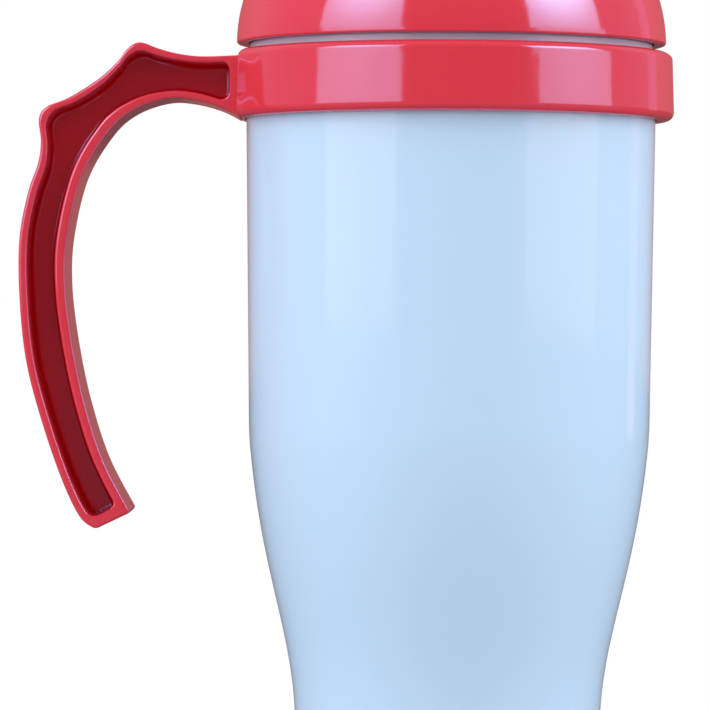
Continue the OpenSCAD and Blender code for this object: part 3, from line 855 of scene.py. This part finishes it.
def sip_places():
    """y of the drink hole's and the vent hole's middle."""
    s = bpy.context.scene.mug_lid
    sip_y = (SEAL_LOW.y + SEAL_HIGH.y) / 2
    return sip_y, -sip_y + 4.4 * MM - 7.4 * MM + s.sip_d / 2


class MUG_OT_lid(bpy.types.Operator):
    """Turns the domed lid, cuts its holes and slot, and adds rails and thread ribs"""

    bl_idname = "mug.lid"
    bl_label = "Lid"

    def execute(self, context):
        s, n, c = context.scene.mug_lid, context.scene.mug_neck, context.scene.mug_collar
        lid_r, low, top = LID_HIGH.x, LID_LOW.z, LID_HIGH.z
        deck = top - s.deck_depth
        under = deck - s.wall
        dome_c = np.array([lid_r - s.dome_r, low])
        bead_c = dome_c + (s.dome_r - s.bead_r) * np.array([math.cos(s.dome_angle), math.sin(s.dome_angle)])
        deck_r = bead_c[0] - s.bead_r - 0.5 * MM
        bore_r = n.neck_r + n.thread_depth + n.thread_gap
        crest_r = n.neck_r + n.thread_gap
        skirt_r = SHELL_HIGH.x - 0.5 * MM
        inner_r = s.dome_r - s.wall
        hollow = math.asin((under - low) / inner_r)
        foot = rounded([(skirt_r, low + 3 * MM, 0), (skirt_r, low, 0.25 * MM), (lid_r, low, 0.45 * MM),
                        (lid_r, low + 3 * MM, 0)], closed=False, steps=8)[1:-1]
        outside = np.vstack([
            foot, arc(dome_c, s.dome_r, math.radians(1.6), s.dome_angle, 60),
            arc(bead_c, s.bead_r, s.dome_angle, math.radians(168), 26)[1:],
            rounded([(bead_c[0] - s.bead_r, bead_c[1], 0), (deck_r, deck, 0.9 * MM),
                     (0, deck, 0)], closed=False, steps=8)[1:],
        ])
        inside = np.vstack([
            [[0, under], [deck_r + s.wall, under], [deck_r + s.wall + 0.3 * MM, deck + 1.5 * MM]],
            arc(dome_c, inner_r, s.dome_angle - math.radians(7), hollow, 12),
            [[crest_r, under], [crest_r, LINER_HIGH.z - 0.4 * MM], [bore_r, LINER_HIGH.z - MM],
             [bore_r, n.flange_top + 0.8 * MM], [skirt_r, n.flange_top + 0.8 * MM]],
        ])
        # The profile starts and ends on the axis: deck first, then out and round to its underside
        loop = np.vstack([outside[::-1], inside[::-1]])
        shell = piece("lid_cut", turned(spaced(loop, 2.5 * MM), 256))
        sip_y, vent_y = sip_places()
        stem_y = (CLIP_LOW.y + CLIP_HIGH.y) / 2
        gap = 0.3 * MM
        slot_end = s.stem_w / 2 + gap
        slot = rounded_box(-slot_end, slot_end, stem_y - slot_end, stem_y + slot_end + s.travel, 0.6 * MM)
        carve(shell, [
            piece("cut_sip", upright(disc(s.sip_d / 2, sip_y), under - MM, deck + MM)),
            piece("cut_vent", upright(disc(s.vent_d / 2, vent_y, 32), under - MM, deck + MM)),
            piece("cut_slot", upright(slot, under - MM, deck + MM)),
        ])
        half = SLIDE_HIGH.x + gap
        rails = []
        for x in (-half - 1.2 * MM, half):
            rails.append(pillow(x, x + 1.2 * MM, SLIDE_LOW.y + 2 * MM, SLIDE_HIGH.y + s.travel, deck - 0.3 * MM,
                                deck + 1.6 * MM, 0.55 * MM, 0.4 * MM))
        lift = n.thread_lead * 58 / 360 - n.thread_w - 0.35 * MM
        ribs = [helical_rib(bore_r, crest_r, n.thread_z + lift, 58 + start, 104, 0.4 * MM)
                for start in (0, 180)]
        extra = piece("lid_extra", joined(*rails, *ribs))
        made = merged("lid_dome", shell, extra)
        put(soften(made), "lid", "red_plastic", red_plastic(), "lid_shell")
        return {"FINISHED"}


def merged(name, first, second):
    """One object from two."""
    with bpy.context.temp_override(active_object=first, selected_editable_objects=[first, second]):
        bpy.ops.object.join()
    first.name = first.data.name = name
    return first


def pillow(x0, x1, y0, y1, low, high, corner, edge):
    """Flat block with a round-cornered outline and a rounded top edge: the outline is drawn in
    by edge (1 - cos a) as it rises by edge sin a."""
    rows = [(low, 0), (high - edge, 0)]
    rows += [(high - edge + edge * math.sin(a), edge * (1 - math.cos(a)))
             for a in np.linspace(0, math.pi / 2, 6)[1:]]
    loops = []
    for z, d in rows:
        outline = rounded_box(x0 + d, x1 - d, y0 + d, y1 - d, max(corner - d, 0.05 * MM))
        loops.append(np.column_stack([outline, np.full(len(outline), z)]))
    return carried(np.stack(loops), outward=False)


class MUG_OT_slide(bpy.types.Operator):
    """Builds the thumb slide: plate, grip ribs, stem and barb"""

    bl_idname = "mug.slide"
    bl_label = "Thumb slide"

    def execute(self, context):
        s = context.scene.mug_lid
        deck = LID_HIGH.z - s.deck_depth
        low = deck + 0.6 * MM
        plate = pillow(-SLIDE_HIGH.x, SLIDE_HIGH.x, SLIDE_LOW.y, SLIDE_HIGH.y, low, low + s.plate_t,
                       s.corner, 0.7 * MM)
        stem_y = (CLIP_LOW.y + CLIP_HIGH.y) / 2
        top = SLIDE_HIGH.z
        ribs = []
        for k in range(3):
            y = stem_y + (2 + 3 * k) * MM
            r = top - (low + s.plate_t) + 0.2 * MM
            reach = SLIDE_HIGH.x - 2 * MM
            ribs.append(bar(reach, y, top - r, r))
        w = s.stem_w / 2
        stem = upright(rounded_box(-w, w, stem_y - w, stem_y + w, 0.4 * MM), SLIDE_LOW.z, low + 0.1 * MM)
        barb = upright(rounded_box(-w - 0.7 * MM, w + 0.7 * MM, stem_y - w, stem_y + w, 0.3 * MM),
                       SLIDE_LOW.z, SLIDE_LOW.z + 0.9 * MM)
        made = piece("thumb_slide", joined(plate, *ribs, stem, barb))
        put(soften(made), "slide", "red_plastic", red_plastic(), "slider")
        return {"FINISHED"}


def bar(reach, y, z, radius):
    """Bar along x with round ends: circles whose radius follows a quarter circle at each end."""
    end = np.linspace(0, math.pi / 2, 7)
    x = np.concatenate([-reach + radius * (1 - np.sin(math.pi / 2 - end[::1])) * 0.7])
    x = np.concatenate([-reach + 0.7 * radius * (1 - np.cos(end)), reach - 0.7 * radius * (1 - np.cos(end[::-1]))])
    r = radius * np.concatenate([np.sin(end), np.sin(end[::-1])])
    r = np.maximum(r, radius * 0.05)
    a = np.arange(28) / 28 * TURN
    rows = np.stack([np.broadcast_to(x[:, None], (len(x), 28)), y + r[:, None] * np.cos(a),
                     z + r[:, None] * np.sin(a)], -1)
    return carried(rows, outward=False)


class MUG_OT_gasket(bpy.types.Operator):
    """Turns the lid's silicone gasket"""

    bl_idname = "mug.gasket"
    bl_label = "Gasket"

    def execute(self, context):
        n = context.scene.mug_neck
        out_r = GASKET_HIGH.x
        in_r = n.neck_r - n.neck_wall - 0.3 * MM
        low, high = GASKET_LOW.z, GASKET_HIGH.z
        ring = rounded([(in_r, low, 0.5 * MM), (out_r, low, 0.5 * MM), (out_r, high, 0.5 * MM),
                        (in_r, high, 0.5 * MM)], steps=6)
        made = piece("gasket_ring", turned(ring, 192))
        put(soften(made), "gasket", "silicone", silicone(), "lid_gasket")
        return {"FINISHED"}


class MUG_OT_inner_pieces(bpy.types.Operator):
    """Gives the pieces inside body and lid, which keep their CAD shape, their finish"""

    bl_idname = "mug.inner_pieces"
    bl_label = "Inner pieces"

    def execute(self, context):
        finishes = {
            "base_seal": silicone, "neck_seal": silicone, "slider_seal": silicone, "slider_clip": silicone,
            "insulation_sleeve": foam, "base_insulation": foam, "lid_insulation": foam,
            "lid_core": liner_plastic,
        }
        for name, finish in finishes.items():
            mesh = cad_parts[name].data
            mesh.materials.clear()
            mesh.materials.append(finish())
        return {"FINISHED"}


# ---- the stage ----

def floor_finish():
    """White matt floor. Only the camera sees it white; it throws less light back on the mug and
    is mirrored dark. Far from the mug it fades to the white of the surroundings."""
    material = bpy.data.materials.new("white floor")
    material.use_nodes = True
    nodes, link = material.node_tree.nodes, material.node_tree.links.new
    principled = nodes["Principled BSDF"]
    principled.inputs["Roughness"].default_value = 0.7
    principled.inputs["Specular IOR Level"].default_value = 0.2
    place = nodes.new("ShaderNodeTexCoord")
    path = nodes.new("ShaderNodeLightPath")
    tone = nodes.new("ShaderNodeMix")
    tone.data_type = "RGBA"
    tone.inputs["A"].default_value = (0.42, 0.41, 0.42, 1)
    tone.inputs["B"].default_value = (0.95, 0.95, 0.95, 1)
    far = nodes.new("ShaderNodeVectorMath")
    far.operation = "LENGTH"
    fade = nodes.new("ShaderNodeMapRange")
    fade.interpolation_type = "SMOOTHSTEP"
    fade.inputs["From Min"].default_value = 0.08
    fade.inputs["From Max"].default_value = 0.26
    seen = nodes.new("ShaderNodeMath")
    seen.operation = "MULTIPLY"
    glow = nodes.new("ShaderNodeEmission")
    mix = nodes.new("ShaderNodeMixShader")
    dim = nodes.new("ShaderNodeMix")
    dim.data_type = "RGBA"
    dim.inputs["B"].default_value = (0.12, 0.08, 0.08, 1)
    link(path.outputs["Is Camera Ray"], tone.inputs["Factor"])
    link(path.outputs["Is Glossy Ray"], dim.inputs["Factor"])
    link(tone.outputs["Result"], dim.inputs["A"])
    link(dim.outputs["Result"], principled.inputs["Base Color"])
    link(place.outputs["Object"], far.inputs[0])
    link(far.outputs["Value"], fade.inputs["Value"])
    link(fade.outputs["Result"], seen.inputs[0])
    link(path.outputs["Is Camera Ray"], seen.inputs[1])
    link(seen.outputs["Value"], mix.inputs["Fac"])
    link(principled.outputs["BSDF"], mix.inputs[1])
    link(glow.outputs["Emission"], mix.inputs[2])
    link(mix.outputs["Shader"], nodes["Material Output"].inputs["Surface"])
    return material


def surroundings(brightness):
    """White surroundings for the camera and for soft light. A glossy surface mirrors a dimmer
    room: bluish in front and at the sides, warm grey behind the mug."""
    world = bpy.data.worlds.new("studio")
    bpy.context.scene.world = world
    world.use_nodes = True
    nodes, link = world.node_tree.nodes, world.node_tree.links.new
    background = nodes["Background"]
    path = nodes.new("ShaderNodeLightPath")
    place = nodes.new("ShaderNodeTexCoord")
    axes = nodes.new("ShaderNodeSeparateXYZ")
    room = nodes.new("ShaderNodeValToRGB")
    depth = nodes.new("ShaderNodeMapRange")
    depth.inputs["From Min"].default_value = -1
    link(place.outputs["Generated"], axes.inputs["Vector"])
    link(axes.outputs["Y"], depth.inputs["Value"])
    link(depth.outputs["Result"], room.inputs["Fac"])
    stops = ((0.01, (0.02, 0.015, 0.015)), (0.1, (0.065, 0.065, 0.07)), (0.35, (0.08, 0.08, 0.10)),
             (0.58, (0.23, 0.23, 0.28)), (0.8, (0.40, 0.38, 0.38)), (1.0, (0.38, 0.15, 0.14)))
    for k, (at, tone) in enumerate(stops):
        stop = room.color_ramp.elements[k] if k < 2 else room.color_ramp.elements.new(at)
        stop.position, stop.color = at, (*tone, 1)
    soft = nodes.new("ShaderNodeMix")
    soft.data_type = "RGBA"
    soft.inputs["A"].default_value = (brightness, brightness, brightness, 1)
    soft.inputs["B"].default_value = (1, 1, 1, 1)
    link(path.outputs["Is Camera Ray"], soft.inputs["Factor"])
    mirrored = nodes.new("ShaderNodeMix")
    mirrored.data_type = "RGBA"
    link(path.outputs["Is Glossy Ray"], mirrored.inputs["Factor"])
    link(soft.outputs["Result"], mirrored.inputs["A"])
    link(room.outputs["Color"], mirrored.inputs["B"])
    link(mirrored.outputs["Result"], background.inputs["Color"])
    background.inputs["Strength"].default_value = 1


def facing_mug(azimuth, distance, middle):
    """Placement of an upright thing that faces the mug's axis, its own Z towards the mug.
    Azimuth 0 is on the camera's side and grows towards +X."""
    a = math.radians(azimuth)
    turn = Matrix.Rotation(a, 4, "Z") @ Matrix.Rotation(math.pi / 2, 4, "X")
    return Matrix.Translation((distance * math.sin(a), -distance * math.cos(a), middle)) @ turn


def soft_light(name, azimuth, distance, width, low, high, radiance):
    """Upright rectangular light that matt surfaces see and glossy ones don't mirror. Its power
    is radiance x pi x area."""
    light = bpy.data.lights.new(name, "AREA")
    light.shape = "RECTANGLE"
    light.size, light.size_y = width, high - low
    light.energy = radiance * math.pi * light.size * light.size_y
    lamp = bpy.data.objects.new(name, light)
    lamp.matrix_world = facing_mug(azimuth, distance, (low + high) / 2)
    lamp.visible_camera = lamp.visible_glossy = False
    bpy.context.scene.collection.objects.link(lamp)


def mirrored_panel(name, azimuth, distance, width, low, high, radiance, tint, hot=0.0, spot=0.75):
    """Upright panel that only glossy surfaces see. It shines radiance x tint. A hot spot, hot
    times brighter again, lies a height of 0.85 m up and fades over the distance spot."""
    made = piece(name, (np.array([[-1, -1, 0], [1, -1, 0], [1, 1, 0], [-1, 1, 0]])
                        * [width / 2, (high - low) / 2, 0], [[0, 1, 2, 3]]), smooth=False)
    made.matrix_world = facing_mug(azimuth, distance, (low + high) / 2)
    made.visible_camera = made.visible_diffuse = made.visible_shadow = False
    made.visible_transmission = False
    material = bpy.data.materials.new(name)
    material.use_nodes = True
    nodes, link = material.node_tree.nodes, material.node_tree.links.new
    nodes.remove(nodes["Principled BSDF"])
    place = nodes.new("ShaderNodeTexCoord")
    middle = nodes.new("ShaderNodeVectorMath")
    middle.operation = "SUBTRACT"
    middle.inputs[1].default_value = (0, 0.85 - (low + high) / 2, 0)
    away = nodes.new("ShaderNodeVectorMath")
    away.operation = "LENGTH"
    falloff = nodes.new("ShaderNodeMapRange")
    falloff.interpolation_type = "SMOOTHERSTEP"
    falloff.inputs["From Max"].default_value = spot
    falloff.inputs["To Min"].default_value = radiance * (1 + hot)
    falloff.inputs["To Max"].default_value = radiance
    shine = nodes.new("ShaderNodeEmission")
    shine.inputs["Color"].default_value = (*tint, 1)
    link(place.outputs["Object"], middle.inputs[0])
    link(middle.outputs["Vector"], away.inputs[0])
    link(away.outputs["Value"], falloff.inputs["Value"])
    link(falloff.outputs["Result"], shine.inputs["Strength"])
    link(shine.outputs["Emission"], nodes["Material Output"].inputs["Surface"])
    made.data.materials.append(material)


class MUG_OT_stage(bpy.types.Operator):
    """Sets up floor, surroundings, light panels and camera"""

    bl_idname = "mug.stage"
    bl_label = "Floor, lights and camera"

    def execute(self, context):
        s = context.scene.mug_studio
        r = np.array([0, 0.3, 1.0, 2.0, 4.0]) / 4.0 * s.floor_r
        steps = 64
        a = np.arange(steps) / steps * TURN
        rings = np.stack([r[1:, None] * np.cos(a), r[1:, None] * np.sin(a), np.zeros((len(r) - 1, steps))], -1)
        faces = grid_faces(len(r) - 1, steps, False, True).tolist()
        faces.append(list(range(steps))[::-1])
        floor = piece("floor", (rings.reshape(-1, 3), [f[::-1] for f in faces]), smooth=False)
        floor.data.materials.append(floor_finish())

        surroundings(s.sky)
        soft_light("left light", -68, 1.2, 0.9, 0.05, 1.3, 2.95)
        soft_light("right light", 80, 1.2, 0.9, 0.05, 1.3, 2.75)
        soft_light("front light", 5, 1.4, 0.8, 0.02, 0.9, 0.9)
        cool = (1.0, 0.74, 0.76)
        for name, azimuth, width, low, high, radiance, hot in (
            ("top left panel", -50.6, 0.95, 0.3, 1.2, 2.35, 1.6),
            ("left panel", -49, 0.95, 0.19, 0.3, 1.95, 1.8),
            ("low left panel", -52.3, 0.867, 0.067, 0.19, 1.25, 0),
            ("top right panel", 61.8, 0.88, 0.3, 1.2, 2.6, 2.6),
            ("right panel", 65.6, 0.88, 0.19, 0.3, 1.95, 2.2),
            ("low right panel", 64.4, 0.961, 0.067, 0.19, 1.25, 0),
        ):
            mirrored_panel(name, azimuth, 1.1, width, low, high, radiance, cool, hot)
        mirrored_panel("edge panel", 124.3, 1.1, 0.18, -0.1, 1.0, 1.4, (0.6, 0.36, 0.48))

        lens = bpy.data.cameras.new("camera")
        lens.sensor_width = 36
        lens.lens = lens.sensor_width * s.distance / s.picture_w
        camera = bpy.data.objects.new("camera", lens)
        down = math.atan2(s.height - s.picture_z, s.distance)
        turn = Matrix.Rotation(math.pi / 2 - down, 4, "X") @ Matrix.Rotation(s.roll, 4, "Z")
        camera.matrix_world = Matrix.Translation((-s.aside, -s.distance, s.height)) @ turn
        context.scene.collection.objects.link(camera)
        context.scene.camera = camera
        context.scene.view_settings.view_transform = "Standard"
        return {"FINISHED"}


class MUG_PT_pieces(bpy.types.Panel):
    """Lists the operators that build the mug"""

    bl_label = "Travel mug"
    bl_idname = "MUG_PT_pieces"
    bl_space_type = "VIEW_3D"
    bl_region_type = "UI"
    bl_category = "Mug"

    def draw(self, context):
        for operator in OPERATORS:
            self.layout.operator(operator.bl_idname)


OPERATORS = (MUG_OT_outer_shell, MUG_OT_base, MUG_OT_liner, MUG_OT_collar, MUG_OT_gasket, MUG_OT_lid,
             MUG_OT_slide, MUG_OT_inner_pieces, MUG_OT_stage)
GROUPS = {"mug_body": MugBodySizes, "mug_neck": MugNeckSizes, "mug_collar": MugCollarSizes,
          "mug_lid": MugLidSizes, "mug_finishes": MugFinishes, "mug_studio": MugStudio}


def register():
    """Registers the property groups, operators and panel."""
    for name, group in GROUPS.items():
        bpy.utils.register_class(group)
        setattr(bpy.types.Scene, name, PointerProperty(type=group))
    for operator in OPERATORS:
        bpy.utils.register_class(operator)
    bpy.utils.register_class(MUG_PT_pieces)


def unregister():
    """Takes them away again."""
    bpy.utils.unregister_class(MUG_PT_pieces)
    for operator in reversed(OPERATORS):
        bpy.utils.unregister_class(operator)
    for name, group in GROUPS.items():
        delattr(bpy.types.Scene, name)
        bpy.utils.unregister_class(group)


def main():
    """Builds every piece and the stage."""
    register()
    bpy.ops.mug.outer_shell()
    bpy.ops.mug.base()
    bpy.ops.mug.liner()
    bpy.ops.mug.collar()
    bpy.ops.mug.gasket()
    bpy.ops.mug.lid()
    bpy.ops.mug.slide()
    bpy.ops.mug.inner_pieces()
    bpy.ops.mug.stage()


if __name__ == "__main__":
    main()
